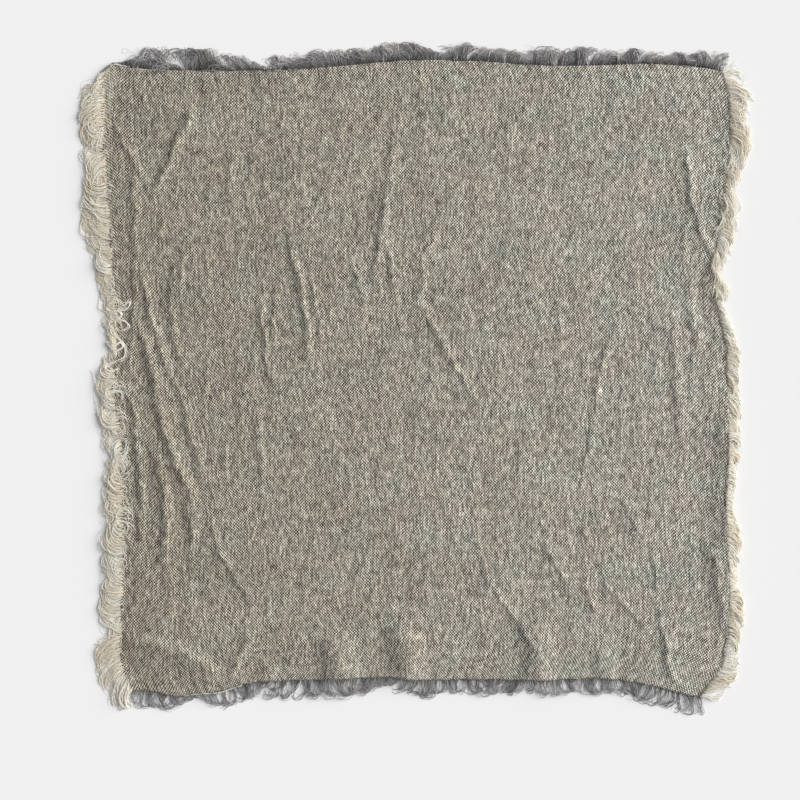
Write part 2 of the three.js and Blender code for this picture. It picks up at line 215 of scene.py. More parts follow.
CREASES = (
    # The left side's long folds and ripples.
    Crease((26, 150), (48, 256), (70, 345), 10.0, 1.1, Crest.ROUND),
    Crease((40, 280), (49, 328), (45, 382), 9.0, 1.0, Crest.ROUND),
    Crease((24, 76), (25, 108), (25, 142), 5.0, 1.3),
    Crease((25, 130), (25, 174), (20, 236), 4.5, 1.6),
    Crease((30, 144), (39, 192), (58, 243), 4.5, 2.0),
    Crease((58, 240), (65, 267), (77, 310), 5.5, 1.5),
    Crease((24, 186), (34, 211), (42, 246), 5.0, 1.8),
    Crease((40, 240), (50, 278), (71, 323), 6.0, 2.1),
    Crease((14, 231), (24, 254), (27, 287), 4.5, 1.7),
    Crease((26, 278), (30, 314), (27, 361), 5.0, 1.7),
    Crease((56, 146), (52, 186), (65, 240), 4.2, 1.4),
    Crease((61, 137), (58, 159), (55, 179), 3.4, 1.9),
    Crease((36, 280), (47, 314), (45, 369), 6.0, 2.0),
    Crease((63, 314), (66, 339), (65, 375), 4.0, 1.3),
    Crease((81, 332), (88, 357), (112, 394), 3.0, 1.4),
    Crease((74, 344), (82, 353), (92, 362), 2.6, 0.8),
    Crease((15, 335), (21, 346), (24, 360), 3.6, 1.1),
    # The top left.
    Crease((68, 33), (55, 63), (39, 96), 6.5, 3.1),
    Crease((12, 48), (22, 68), (36, 96), 4.2, 1.5),
    Crease((44, 100), (45, 116), (44, 134), 3.6, 0.9),
    Crease((94, 51), (94, 91), (98, 127), 4.3, 0.8),
    # The bottom left.
    Crease((14, 420), (52, 424), (90, 448), 8.5, 3.6, far_flank=2.6),
    Crease((94, 446), (101, 429), (108, 411), 5.8, 2.0, Crest.SOFT),
    # Left of centre.
    Crease((135, 133), (146, 171), (150, 224), 4.6, 2.2),
    Crease((115, 172), (119, 202), (122, 234), 3.2, 1.8),
    Crease((102, 244), (107, 231), (112, 216), 3.2, 1.3),
    Crease((179, 138), (184, 155), (188, 171), 2.9, 1.4),
    Crease((170, 84), (156, 105), (146, 124), 3.2, 1.3),
    Crease((152, 156), (153, 170), (157, 182), 2.4, 1.1),
    Crease((160, 184), (158, 199), (156, 213), 2.6, 1.2),
    Crease((168, 178), (165, 189), (163, 201), 2.9, 0.8),
    Crease((127, 168), (125, 189), (125, 212), 3.0, 1.5),
    # The centre.
    Crease((215, 38), (210, 76), (204, 112), 6.5, 1.2, Crest.SOFT),
    Crease((206, 98), (202, 130), (196, 162), 4.3, 2.2),
    Crease((206, 128), (209, 146), (213, 166), 2.9, 1.6),
    Crease((233, 140), (232, 160), (226, 182), 3.0, 1.2),
    Crease((250, 110), (239, 131), (228, 152), 4.5, 1.2),
    Crease((229, 172), (248, 208), (279, 259), 3.6, 1.6),
    Crease((232, 166), (250, 176), (266, 182), 2.6, 1.0),
    Crease((222, 172), (217, 190), (214, 206), 2.9, 0.7),
    Crease((322, 17), (298, 48), (268, 82), 3.2, 1.3),
    Crease((272, 78), (250, 104), (234, 132), 3.2, 0.8),
    # The right side.
    Crease((422, 60), (427, 104), (441, 143), 4.8, 2.3),
    Crease((441, 138), (441, 159), (444, 184), 5.0, 1.7),
    Crease((427, 99), (421, 130), (420, 152), 4.0, 1.3),
    Crease((425, 150), (426, 180), (432, 211), 5.0, 1.5),
    Crease((376, 192), (362, 217), (357, 260), 3.8, 1.7),
    Crease((357, 255), (353, 275), (347, 296), 3.4, 1.2),
    Crease((412, 170), (415, 225), (420, 284), 5.5, 1.0, Crest.SOFT),
    Crease((452, 236), (456, 320), (452, 404), 22.0, 3.4, Crest.ROUND),
    Crease((441, 343), (445, 379), (452, 418), 5.8, 1.5),
    # The ripples of the bottom edge.
    Crease((168, 410), (171, 433), (172, 456), 17.3, 3.6, Crest.ROUND),
    Crease((217, 402), (221, 429), (222, 456), 15.8, 3.6, Crest.ROUND),
    Crease((310, 400), (315, 429), (315, 456), 15.1, 3.8, Crest.ROUND),
    Crease((358, 417), (363, 436), (364, 457), 10.8, 2.1, Crest.ROUND),
    Crease((120, 430), (122, 442), (123, 455), 9.0, 1.3, Crest.ROUND),
    # The lower right.
    Crease((320, 347), (329, 366), (341, 389), 3.2, 1.6),
    Crease((277, 370), (297, 400), (320, 434), 3.2, 1.4),
    Crease((361, 376), (379, 394), (399, 417), 3.0, 1.5),
    Crease((374, 314), (383, 330), (394, 349), 3.0, 1.3),
    Crease((400, 386), (405, 410), (409, 436), 3.4, 1.3),
    Crease((408, 414), (408, 431), (417, 454), 4.3, 1.7),
    Crease((397, 340), (399, 362), (402, 384), 3.2, 1.1),
    Crease((347, 369), (352, 387), (357, 404), 2.8, 1.2),
    Crease((272, 340), (276, 362), (283, 385), 3.2, 1.0),
    # Short ones in the lower middle and left.
    Crease((201, 343), (190, 362), (180, 384), 2.9, 1.1),
    Crease((111, 242), (115, 274), (117, 310), 2.8, 0.9),
    Crease((89, 274), (91, 292), (91, 310), 2.6, 0.9),
    Crease((179, 290), (180, 307), (181, 323), 2.6, 0.8),
    Crease((158, 300), (160, 318), (165, 336), 2.9, 0.7),
    Crease((300, 268), (302, 290), (300, 312), 3.0, 0.6),
    Crease((240, 280), (243, 300), (242, 322), 3.0, 0.6),
)

PRESS_LINES = (
    PressLine((231, 235), (231, 455), 26, 0.8),
    PressLine((20, 197), (150, 198), 14, -0.3),
)

CREAM_THREADS = (
    EdgeThread(Side.BOTTOM, 60, 102, 0.6),
    EdgeThread(Side.TOP, 6, 40, 0.2),
)
GREY_THREADS = (
    EdgeThread(Side.RIGHT, 7, 28, 0.6),
    EdgeThread(Side.RIGHT, 98, 152, 0.7),
    EdgeThread(Side.RIGHT, 405, 459, 0.6),
    EdgeThread(Side.RIGHT, 412, 457, 1.4),
)

# Yarns that flopped back over the left edge, each through points (across, down).
LOOSE_CURLS = (
    ((5.4, 175.3), (11.5, 173.5), (17.3, 176.4), (20.9, 173.5), (21.6, 176.4), (18.0, 180.0), (13.7, 177.8)),
    ((5.4, 185.0), (12.6, 187.2), (18.7, 189.7), (19.8, 193.3), (15.1, 195.8)),
    ((3.6, 191.5), (9.0, 193.3), (11.5, 198.7), (16.2, 204.1), (18.7, 209.5), (18.0, 215.0), (13.7, 216.7)),
    ((5.4, 205.2), (10.8, 206.6), (15.1, 204.1), (17.3, 206.6), (12.6, 209.5), (7.9, 208.8)),
    ((13.7, 216.7), (7.9, 219.6), (3.6, 223.2), (5.4, 225.7), (12.6, 223.2)),
    ((4.0, 179.5), (8.5, 182.0), (13.0, 181.0), (15.5, 184.5), (11.0, 187.5)),
    ((6.0, 198.0), (10.5, 201.0), (9.0, 205.5), (5.0, 204.0)),
)


def linear(hex_colour: str) -> tuple[float, float, float, float]:
    """Turns an sRGB colour into the linear one that a shader takes.

    Args:
        hex_colour: Six hex digits after a hash sign.

    Returns:
        Linear red, green, blue and an alpha of one.
    """
    channels = (int(hex_colour[i : i + 2], 16) / 255 for i in (1, 3, 5))
    values = (c / 12.92 if c <= 0.04045 else ((c + 0.055) / 1.055) ** 2.4 for c in channels)
    return (*values, 1.0)


def add_node(tree: bpy.types.NodeTree, kind: str, inputs: dict[Any, Any], **settings: Any) -> bpy.types.Node:
    """Adds a shader node with its settings and links.

    Args:
        tree: The material's node tree.
        kind: Blender's name for the node type.
        inputs: Socket name or number to the socket it is linked from, or to its constant value.
        **settings: The node's own properties.

    Returns:
        The new node.
    """
    node = tree.nodes.new(kind)
    for name, value in settings.items():
        setattr(node, name, value)
    for key, value in inputs.items():
        if isinstance(value, bpy.types.NodeSocket):
            tree.links.new(value, node.inputs[key])
        else:
            node.inputs[key].default_value = value
    return node


def new_material(name: str) -> tuple[bpy.types.Material, bpy.types.NodeTree]:
    """Makes an empty node material.

    Args:
        name: What the real material is and how it was made.

    Returns:
        The material and its node tree.
    """
    material = bpy.data.materials.new(name)
    material.use_nodes = True
    material.node_tree.nodes.clear()
    return material, material.node_tree


def soft_noise(rng: np.random.Generator, shape: tuple[int, int], blur: tuple[float, float]) -> np.ndarray:
    """Seeded noise, smoothed along rows and columns.

    Args:
        rng: The seeded source.
        shape: Rows and columns.
        blur: Smoothing along the rows' and the columns' direction, in cells.

    Returns:
        The field, with a spread of one about zero.
    """
    waves = np.fft.rfft2(rng.standard_normal(shape))
    down = np.fft.fftfreq(shape[0])[:, None] * blur[0]
    across = np.fft.rfftfreq(shape[1])[None, :] * blur[1]
    waves *= np.exp(-2 * math.pi**2 * (down**2 + across**2))
    field = np.fft.irfft2(waves, s=shape)
    field -= field.mean()
    return field / field.std()


def new_object(name: str, vertices: np.ndarray, faces: list[tuple[int, ...]]) -> bpy.types.Object:
    """Makes a smooth mesh object from arrays.

    Args:
        name: The piece's name.
        vertices: One row for each vertex, in millimetres.
        faces: Vertex numbers round each face.

    Returns:
        The object, linked to the scene.
    """
    mesh = bpy.data.meshes.new(name)
    mesh.from_pydata((vertices * MM).tolist(), [], faces)
    mesh.shade_smooth()
    mesh.validate()
    piece = bpy.data.objects.new(name, mesh)
    bpy.context.scene.collection.objects.link(piece)
    return piece


def smooth_line(rows: np.ndarray, steps: int) -> np.ndarray:
    """Draws a smooth line through points.

    Args:
        rows: The points, one a row.
        steps: How many points to draw from each to the next.

    Returns:
        The line's own points.
    """
    padded = np.vstack([rows[:1], rows, rows[-1:]])
    t = np.linspace(0, 1, steps, endpoint=False)[:, None]
    spans = []
    for before, here, after, beyond in zip(padded, padded[1:], padded[2:], padded[3:]):
        slope_in, slope_out = (after - before) / 2, (beyond - here) / 2
        cubic = 2 * here - 2 * after + slope_in + slope_out
        square = -3 * here + 3 * after - 2 * slope_in - slope_out
        spans.append(cubic * t**3 + square * t**2 + slope_in * t + here)
    return np.vstack([*spans, rows[-1:]])


def dress(piece: bpy.types.Object, material: bpy.types.Material) -> None:
    """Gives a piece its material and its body.

    Args:
        piece: The piece.
        material: Its only material.
    """
    piece.data.materials.append(material)
    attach(piece, BODY)


@dataclass(frozen=True)
class Outline:
    """The woven area: four bowed edges, and the threads' grid between them."""

    width: float = 454.0
    length: float = 460.0
    steps_a_row: int = 40

    def rows(self, side: Side) -> np.ndarray:
        """The listed points of one edge.

        Args:
            side: Which edge.

        Returns:
            Points (across, down) from the edge's left or top end.
        """
        start, end = ENDS[side]
        place = {
            Side.TOP: lambda row: (row.along, row.inset),
            Side.BOTTOM: lambda row: (row.along, self.length - row.inset),
            Side.LEFT: lambda row: (row.inset, row.along),
            Side.RIGHT: lambda row: (self.width - row.inset, row.along),
        }[side]
        return np.array([start, *(place(row) for row in INSETS[side]), end], float)

    def curve(self, side: Side) -> np.ndarray:
        """One edge as a smooth line of closely spaced points (across, down)."""
        return smooth_line(self.rows(side), self.steps_a_row)

    def edge(self, side: Side, shares: np.ndarray) -> np.ndarray:
        """Points of an edge at shares of its length.

        Args:
            side: Which edge.
            shares: From 0 at its left or top end to 1.

        Returns:
            Points (across, down).
        """
        line = self.curve(side)
        run = np.concatenate([[0], np.cumsum(np.linalg.norm(np.diff(line, axis=0), axis=1))])
        return np.stack([np.interp(shares * run[-1], run, line[:, i]) for i in (0, 1)], axis=-1)

    def edge_length(self, side: Side) -> float:
        """The edge's length in millimetres."""
        return float(np.linalg.norm(np.diff(self.curve(side), axis=0), axis=1).sum())

    def weave(self, s: np.ndarray, t: np.ndarray) -> np.ndarray:
        """Points of the cloth, blended between its four edges.

        Args:
            s: Shares along the weft, a row of them.
            t: Shares along the warp, a row of them.

        Returns:
            A grid of points (across, down), with a row for each t.
        """
        top, bottom = self.edge(Side.TOP, s)[None], self.edge(Side.BOTTOM, s)[None]
        left, right = self.edge(Side.LEFT, t)[:, None], self.edge(Side.RIGHT, t)[:, None]
        s, t = s[None, :, None], t[:, None, None]
        corners = (1 - t) * ((1 - s) * np.array(TOP_LEFT) + s * np.array(TOP_RIGHT))
        corners = corners + t * ((1 - s) * np.array(BOTTOM_LEFT) + s * np.array(BOTTOM_RIGHT))
        return (1 - t) * top + t * bottom + (1 - s) * left + s * right - corners

    def to_scene(self, points: np.ndarray) -> np.ndarray:
        """Places table points (across, down) in the frame, on the cloth's own solid.

        Args:
            points: Any array whose last axis is (across, down).

        Returns:
            The same array as (x, y), still in millimetres.
        """
        low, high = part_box(CLOTH_NODE)
        everywhere = np.vstack([self.curve(side) for side in Side])
        shift_x = low.x / MM - everywhere[:, 0].min()
        shift_y = high.y / MM + everywhere[:, 1].min()
        return np.stack([points[..., 0] + shift_x, shift_y - points[..., 1]], axis=-1)


@dataclass(frozen=True)
class Relief:
    """How far creases and ironed folds lift the cloth off the floor."""

    curve_steps: int = 24
    flank: float = 1.7
    lowest: float = -0.3
    wobble: tuple[float, float] = (0.8, 0.5)
    wobble_length: tuple[float, float] = (29.0, 13.0)
    wobble_across: tuple[float, float] = (7.0, 5.0)
    wobble_bend: float = 1.5

    def wobbled(self, points: np.ndarray) -> np.ndarray:
        """Shifts points sideways by long and short waves, so that no crease read at them runs straight.

        Args:
            points: One (across, down) a row.

        Returns:
            The shifted points.
        """
        across, down = points[:, 0], points[:, 1]
        bend = self.wobble_bend * np.sin(across / self.wobble_across[0])
        long_wave = np.sin(2 * math.pi * down / self.wobble_length[0] + bend)
        short_wave = np.sin(2 * math.pi * down / self.wobble_length[1] + across / self.wobble_across[1])
        shift = self.wobble[0] * long_wave + self.wobble[1] * short_wave
        return np.column_stack([across + shift, down])

    def nearest(self, points: np.ndarray, line: np.ndarray) -> tuple[np.ndarray, np.ndarray, np.ndarray]:
        """Finds how far points are from a line, how far along it, and on which side.

        Args:
            points: One (across, down) a row.
            line: The line's own points.

        Returns:
            Distances, shares of the line's steps, and whether each point is on the right of the line's run.
        """
        best = np.full(len(points), np.inf)
        share = np.zeros(len(points))
        right = np.zeros(len(points), bool)
        for i, (a, b) in enumerate(zip(line, line[1:])):
            step = b - a
            t = np.clip((points - a) @ step / (step @ step), 0, 1)
            away = np.linalg.norm(points - a - t[:, None] * step, axis=1)
            closer = away < best
            best[closer] = away[closer]
            share[closer] = (i + t[closer]) / (len(line) - 1)
            aside = step[0] * (points[:, 1] - a[1]) - step[1] * (points[:, 0] - a[0])
            right[closer] = aside[closer] > 0
        return best, share, right

    def crease(self, points: np.ndarray, crease: Crease) -> np.ndarray:
        """One crease's height.

        Args:
            points: One (across, down) a row.
            crease: The crease.

        Returns:
            Its height at each point, zero off the crease.
        """
        start, mid, end = (np.array(p, float) for p in crease[:3])
        control = 2 * mid - (start + end) / 2
        t = np.linspace(0, 1, self.curve_steps)[:, None]
        line = (1 - t) ** 2 * start + 2 * t * (1 - t) * control + t**2 * end
        height = np.zeros(len(points))
        widest = crease.half_width * max(crease.far_flank, 1)
        low, high = line.min(0) - widest, line.max(0) + widest
        near = np.flatnonzero(((points > low) & (points < high)).all(axis=1))
        away, share, right = self.nearest(points[near], line)
        bend = crease.crest.value
        width = crease.half_width * np.where(right, crease.far_flank, 1)
        fall = (np.hypot(away / width, bend) - bend) / (math.hypot(1, bend) - bend)
        crest = np.clip(1 - fall, 0, None) ** self.flank
        height[near] = crease.height * crest * (1 - (2 * share - 1) ** 4)
        return height

    def press(self, points: np.ndarray, line: PressLine) -> np.ndarray:
        """One ironed fold's height.

        Args:
            points: One (across, down) a row.
            line: The ironed fold.

        Returns:
            Its height at each point.
        """
        away, share, _ = self.nearest(points, np.array([line.start, line.end], float))
        return line.height * np.exp(-away / line.fade) * (1 - (2 * share - 1) ** 4)

    def lift(self, points: np.ndarray) -> np.ndarray:
        """All creases and ironed folds together.

        Args:
            points: An array whose last axis is (across, down).

        Returns:
            The height at each point, in millimetres.
        """
        flat = points.reshape(-1, 2)
        wobbled = self.wobbled(flat)
        height = sum(self.crease(wobbled, crease) for crease in CREASES)
        height = height + sum(self.press(flat, line) for line in PRESS_LINES)
        return np.maximum(height, self.lowest).reshape(points.shape[:-1])


@dataclass(frozen=True)
class ChambrayLinen:
    """Linen in plain weave, cream weft over dark grey warp, washed and never ironed smooth.

    It gives the eye a salt-and-pepper check of single threads, each float a little lighter or darker, with
    faint streaks down the warp, a cloudy wash, and no shine.
    """

    weft_light: str = "#EAE7E0"
    weft_dark: str = "#B9B5AB"
    warp_light: str = "#625E57"
    warp_dark: str = "#282520"
    brown_wash: str = "#FFFAF4"
    green_wash: str = "#F7FDF8"
    # The left and right colours are painted shade: a ramp that is darker towards the left.
    painted_shade_left: str = "#E3DFD9"
    painted_shade_right: str = "#FFFFFF"
    warp_yarns: float = 432.0
    weft_yarns: float = 413.0
    worn_share: float = 0.05
    worn_slant: float = 0.3
    worn_strength: float = 0.6
    own_strength: float = 0.34
    streak_strength: float = 0.46
    crossing: tuple[float, float] = (0.1, 0.34)
    waver_mm: float = 0.55
    waver_size_mm: float = 9.0
    streak_mm: tuple[float, float] = (1.6, 6.5)
    tint_mm: float = 24.0
    cloud_mm: float = 34.0
    cloud_shade: tuple[float, float] = (0.94, 1.15)
    crepe_mm: tuple[float, float] = (2.2, 7.0)
    crepe_height_mm: float = 0.95
    yarn_height_mm: float = 0.25
    roughness: float = 0.93
    sheen: float = 0.06

    def make(self, outline: Outline) -> bpy.types.Material:
        """Builds the material.

        Args:
            outline: Gives the cloth's flat size, which the threads are counted across.

        Returns:
            The woven material, which follows the cloth's own thread map.
        """
        material, tree = new_material("chambray_linen_plain_woven")
        size = (outline.width, outline.length, 1.0)
        chart = add_node(tree, "ShaderNodeUVMap", {}, uv_map="threads").outputs["UV"]
        flat = add_node(tree, "ShaderNodeVectorMath", {0: chart, 1: size}, operation="MULTIPLY").outputs[0]
        over, number = self.interlace(tree, flat, outline)
        woven = self.colour_threads(tree, chart, flat, over, number)
        washed = self.wash(tree, chart, flat, woven)
        cloth = add_node(
            tree, "ShaderNodeBsdfPrincipled",
            {
                "Base Color": washed, "Roughness": self.roughness, "Specular IOR Level": 0.15,
                "Sheen Weight": self.sheen, "Normal": self.crepe(tree, flat, over),
            },
        )
        add_node(tree, "ShaderNodeOutputMaterial", {"Surface": cloth.outputs[0]})
        return material

    def interlace(
        self, tree: bpy.types.NodeTree, flat: bpy.types.NodeSocket, outline: Outline
    ) -> tuple[bpy.types.NodeSocket, bpy.types.NodeSocket]:
        """Crosses the two sets of yarns.

        Args:
            tree: The material's node tree.
            flat: Place on the flat cloth, in millimetres.
            outline: Gives the cloth's flat size.

        Returns:
            A wave that is positive where the weft is on top and negative where the warp is, and the
            numbers of the two yarns that cross.
        """
        # Handling pulls the threads out of line, so the grid wavers.
        waver = add_node(
            tree, "ShaderNodeTexNoise", {"Vector": flat, "Scale": 1 / self.waver_size_mm, "Detail": 2.0},
            noise_dimensions="2D",
        ).outputs["Color"]
        strength = (2 * self.waver_mm, 2 * self.waver_mm, 0.0)
        drawn = add_node(
            tree, "ShaderNodeVectorMath", {0: waver, 1: strength, 2: flat}, operation="MULTIPLY_ADD"
        ).outputs[0]
        density = (self.warp_yarns / outline.width, self.weft_yarns / outline.length, 0.0)
        yarn = add_node(tree, "ShaderNodeVectorMath", {0: drawn, 1: density}, operation="MULTIPLY").outputs[0]
        number = add_node(tree, "ShaderNodeVectorMath", {0: yarn}, operation="FLOOR").outputs[0]
        turns = add_node(
            tree, "ShaderNodeVectorMath", {0: yarn, 1: (math.pi, math.pi, 0.0)}, operation="MULTIPLY"
        ).outputs[0]
        waves = add_node(tree, "ShaderNodeVectorMath", {0: turns}, operation="SINE").outputs[0]
        wave = add_node(tree, "ShaderNodeSeparateXYZ", {0: waves}).outputs
        over = add_node(tree, "ShaderNodeMath", {0: wave[0], 1: wave[1]}, operation="MULTIPLY").outputs[0]
        return over, number

    def colour_threads(
        self, tree: bpy.types.NodeTree, chart: bpy.types.NodeSocket, flat: bpy.types.NodeSocket,
        over: bpy.types.NodeSocket, number: bpy.types.NodeSocket,
    ) -> bpy.types.NodeSocket:
        """Colours each float of the two yarns.

        Args:
            tree: The material's node tree.
            chart: Place on the cloth as shares of its width and length.
            flat: The same in millimetres.
            over: Which yarn is on top.
            number: The numbers of the two yarns that cross.

        Returns:
            The woven colour.
        """
        chance = add_node(tree, "ShaderNodeTexWhiteNoise", {"Vector": number}, noise_dimensions="2D")
        own = add_node(tree, "ShaderNodeSeparateXYZ", {0: chance.outputs["Color"]}).outputs
        stretch = (1 / self.streak_mm[0], 1 / self.streak_mm[1], 0.0)
        run = add_node(tree, "ShaderNodeVectorMath", {0: flat, 1: stretch}, operation="MULTIPLY").outputs[0]
        streak = add_node(
            tree, "ShaderNodeTexNoise", {"Vector": run, "Scale": 1.0, "Detail": 2.0}, noise_dimensions="2D"
        ).outputs["Fac"]

        # A yarn that runs thick covers more of the other. The top left corner has lost warp, so it is
        # creamier.
        thick = add_node(
            tree, "ShaderNodeMapRange",
            {
                "Value": streak, "From Min": 0.2, "From Max": 0.8,
                "To Min": -self.streak_strength, "To Max": self.streak_strength,
            },
        ).outputs["Result"]
        inward = add_node(
            tree, "ShaderNodeVectorMath", {0: chart, 1: (1.0, -self.worn_slant, 0.0)}, operation="DOT_PRODUCT"
        ).outputs["Value"]
        worn = add_node(
            tree, "ShaderNodeMapRange",
            {
                "Value": inward, "From Min": -self.worn_slant, "From Max": self.worn_share - self.worn_slant,
                "To Min": self.worn_strength, "To Max": 0.0,
            },
            interpolation_type="SMOOTHSTEP",
        ).outputs["Result"]
        uneven = add_node(
            tree, "ShaderNodeMath", {0: own[2], 1: self.own_strength, 2: over}, operation="MULTIPLY_ADD"
        ).outputs[0]
        uneven = add_node(tree, "ShaderNodeMath", {0: uneven, 1: thick}, operation="ADD").outputs[0]
        uneven = add_node(tree, "ShaderNodeMath", {0: uneven, 1: worn}, operation="ADD").outputs[0]
        shows_weft = add_node(
            tree, "ShaderNodeMapRange",
            {"Value": uneven, "From Min": self.crossing[0], "From Max": self.crossing[1]},
            interpolation_type="SMOOTHSTEP",
        ).outputs["Result"]
        weft = add_node(
            tree, "ShaderNodeMix", {0: own[0], 6: linear(self.weft_dark), 7: linear(self.weft_light)},
            data_type="RGBA",
        ).outputs[2]
        warp = add_node(
            tree, "ShaderNodeMix", {0: own[1], 6: linear(self.warp_dark), 7: linear(self.warp_light)},
            data_type="RGBA",
        ).outputs[2]
        return add_node(
            tree, "ShaderNodeMix", {0: shows_weft, 6: warp, 7: weft}, data_type="RGBA"
        ).outputs[2]

    def wash(
        self, tree: bpy.types.NodeTree, chart: bpy.types.NodeSocket, flat: bpy.types.NodeSocket,
        woven: bpy.types.NodeSocket,
    ) -> bpy.types.NodeSocket:
        """Lays over the threads what washing did to them, and painted shade that darkens the cloth towards
        the left.

        Args:
            tree: The material's node tree.
            chart: Place on the cloth as shares of its width and length.
            flat: The same in millimetres.
            woven: The threads' colour.

        Returns:
            The colour, cloudy, here browner and there greener, and darker towards the left with painted
            shade.
        """
        cloud, tint = (
            add_node(
                tree, "ShaderNodeTexNoise",
                {"Vector": flat, "Scale": 1 / mm, "Detail": 4.0, "Roughness": 0.55},
                noise_dimensions="2D",
            ).outputs["Fac"]
            for mm in (self.cloud_mm, self.tint_mm)
        )
        share = add_node(tree, "ShaderNodeSeparateXYZ", {0: chart}).outputs[0]
        # Painted shade: a ramp that darkens the cloth towards the left, where less of the light from the
        # right falls.
        painted_falloff = add_node(
            tree, "ShaderNodeMix", {0: share, 6: linear(self.painted_shade_left), 7: linear(self.painted_shade_right)},
            data_type="RGBA",
        ).outputs[2]
        cloudy = add_node(
            tree, "ShaderNodeMapRange",
            {
                "Value": cloud, "From Min": 0.25, "From Max": 0.75,
                "To Min": self.cloud_shade[0], "To Max": self.cloud_shade[1],
            },
        ).outputs["Result"]
        spread = add_node(
            tree, "ShaderNodeMapRange", {"Value": tint, "From Min": 0.25, "From Max": 0.75}
        ).outputs["Result"]
        stain = add_node(
            tree, "ShaderNodeMix", {0: spread, 6: linear(self.brown_wash), 7: linear(self.green_wash)},
            data_type="RGBA",
        ).outputs[2]
        for layer in (stain, painted_falloff):
            woven = add_node(
                tree, "ShaderNodeVectorMath", {0: woven, 1: layer}, operation="MULTIPLY"
            ).outputs[0]
        return add_node(
            tree, "ShaderNodeVectorMath", {0: woven, "Scale": cloudy}, operation="SCALE"
        ).outputs[0]

    def crepe(
        self, tree: bpy.types.NodeTree, flat: bpy.types.NodeSocket, over: bpy.types.NodeSocket
    ) -> bpy.types.NodeSocket:
        """Raises the finest crepe between the creases, longer along the warp, and the threads' roundness.

        Args:
            tree: The material's node tree.
            flat: Place on the flat cloth, in millimetres.
            over: Which yarn is on top, and how near the middle of its float.

        Returns:
            The normal.
        """
        stretch = (1 / self.crepe_mm[0], 1 / self.crepe_mm[1], 0.0)
        grid = add_node(tree, "ShaderNodeVectorMath", {0: flat, 1: stretch}, operation="MULTIPLY").outputs[0]
        crepe = add_node(
            tree, "ShaderNodeTexNoise", {"Vector": grid, "Scale": 1.0, "Detail": 2.0, "Distortion": 0.6},
            noise_dimensions="2D",
        ).outputs["Fac"]
        crinkled = add_node(
            tree, "ShaderNodeBump", {"Height": crepe, "Distance": self.crepe_height_mm * MM, "Strength": 1.0}
        ).outputs[0]
        round_yarn = add_node(tree, "ShaderNodeMath", {0: over}, operation="ABSOLUTE").outputs[0]
        return add_node(
            tree, "ShaderNodeBump",
            {"Height": round_yarn, "Distance": self.yarn_height_mm * MM, "Strength": 0.6, "Normal": crinkled},
        ).outputs[0]


@dataclass(frozen=True)
class FrayedYarn:
    """Linen yarn that has come out of the weave and opened into its plies.

    It gives the eye pale, hairy strands, each of its own tone, with painted shade at the roots, where the
    strands crowd.
    """

    name: str
    slot: str
    # The root colour is painted shade, laid on the first share of each strand's length.
    root: str
    light: str
    dark: str
    root_shade_share: float
    fibre_mm: float = 0.5
    fibre_height_mm: float = 0.12
    roughness: float = 0.95
    lets_through: float = 0.5

    def make(self) -> bpy.types.Material:
        """Builds the material.

        Returns:
            The yarn material, which reads each strand's tone and how near its tip it is.
        """
        material, tree = new_material(self.name)
        tone = add_node(tree, "ShaderNodeAttribute", {}, attribute_name="tone").outputs["Fac"]
        tip = add_node(tree, "ShaderNodeAttribute", {}, attribute_name="tip").outputs["Fac"]
        own = add_node(
            tree, "ShaderNodeMix", {0: tone, 6: linear(self.dark), 7: linear(self.light)}, data_type="RGBA"
        ).outputs[2]
        # Painted shade: each strand is darkest at its root and takes on its own tone further out.
        out = add_node(
            tree, "ShaderNodeMapRange", {"Value": tip, "From Min": 0.0, "From Max": self.root_shade_share},
            interpolation_type="SMOOTHSTEP",
        ).outputs["Result"]
        shaded = add_node(
            tree, "ShaderNodeMix", {0: out, 6: linear(self.root), 7: own}, data_type="RGBA"
        ).outputs[2]
        place = add_node(tree, "ShaderNodeTexCoord", {}).outputs["Object"]
        fibre = add_node(
            tree, "ShaderNodeTexNoise", {"Vector": place, "Scale": 1 / (self.fibre_mm * MM), "Detail": 2.0}
        ).outputs["Fac"]
        hairy = add_node(
            tree, "ShaderNodeBump", {"Height": fibre, "Distance": self.fibre_height_mm * MM}
        ).outputs[0]
        yarn = add_node(
            tree, "ShaderNodeBsdfPrincipled",
            {"Base Color": shaded, "Roughness": self.roughness, "Specular IOR Level": 0.15, "Normal": hairy},
        ).outputs[0]
        glow = add_node(tree, "ShaderNodeBsdfTranslucent", {"Color": shaded}).outputs[0]
        loose = add_node(tree, "ShaderNodeMixShader", {0: self.lets_through, 1: yarn, 2: glow}).outputs[0]
        add_node(tree, "ShaderNodeOutputMaterial", {"Surface": loose})
        return material


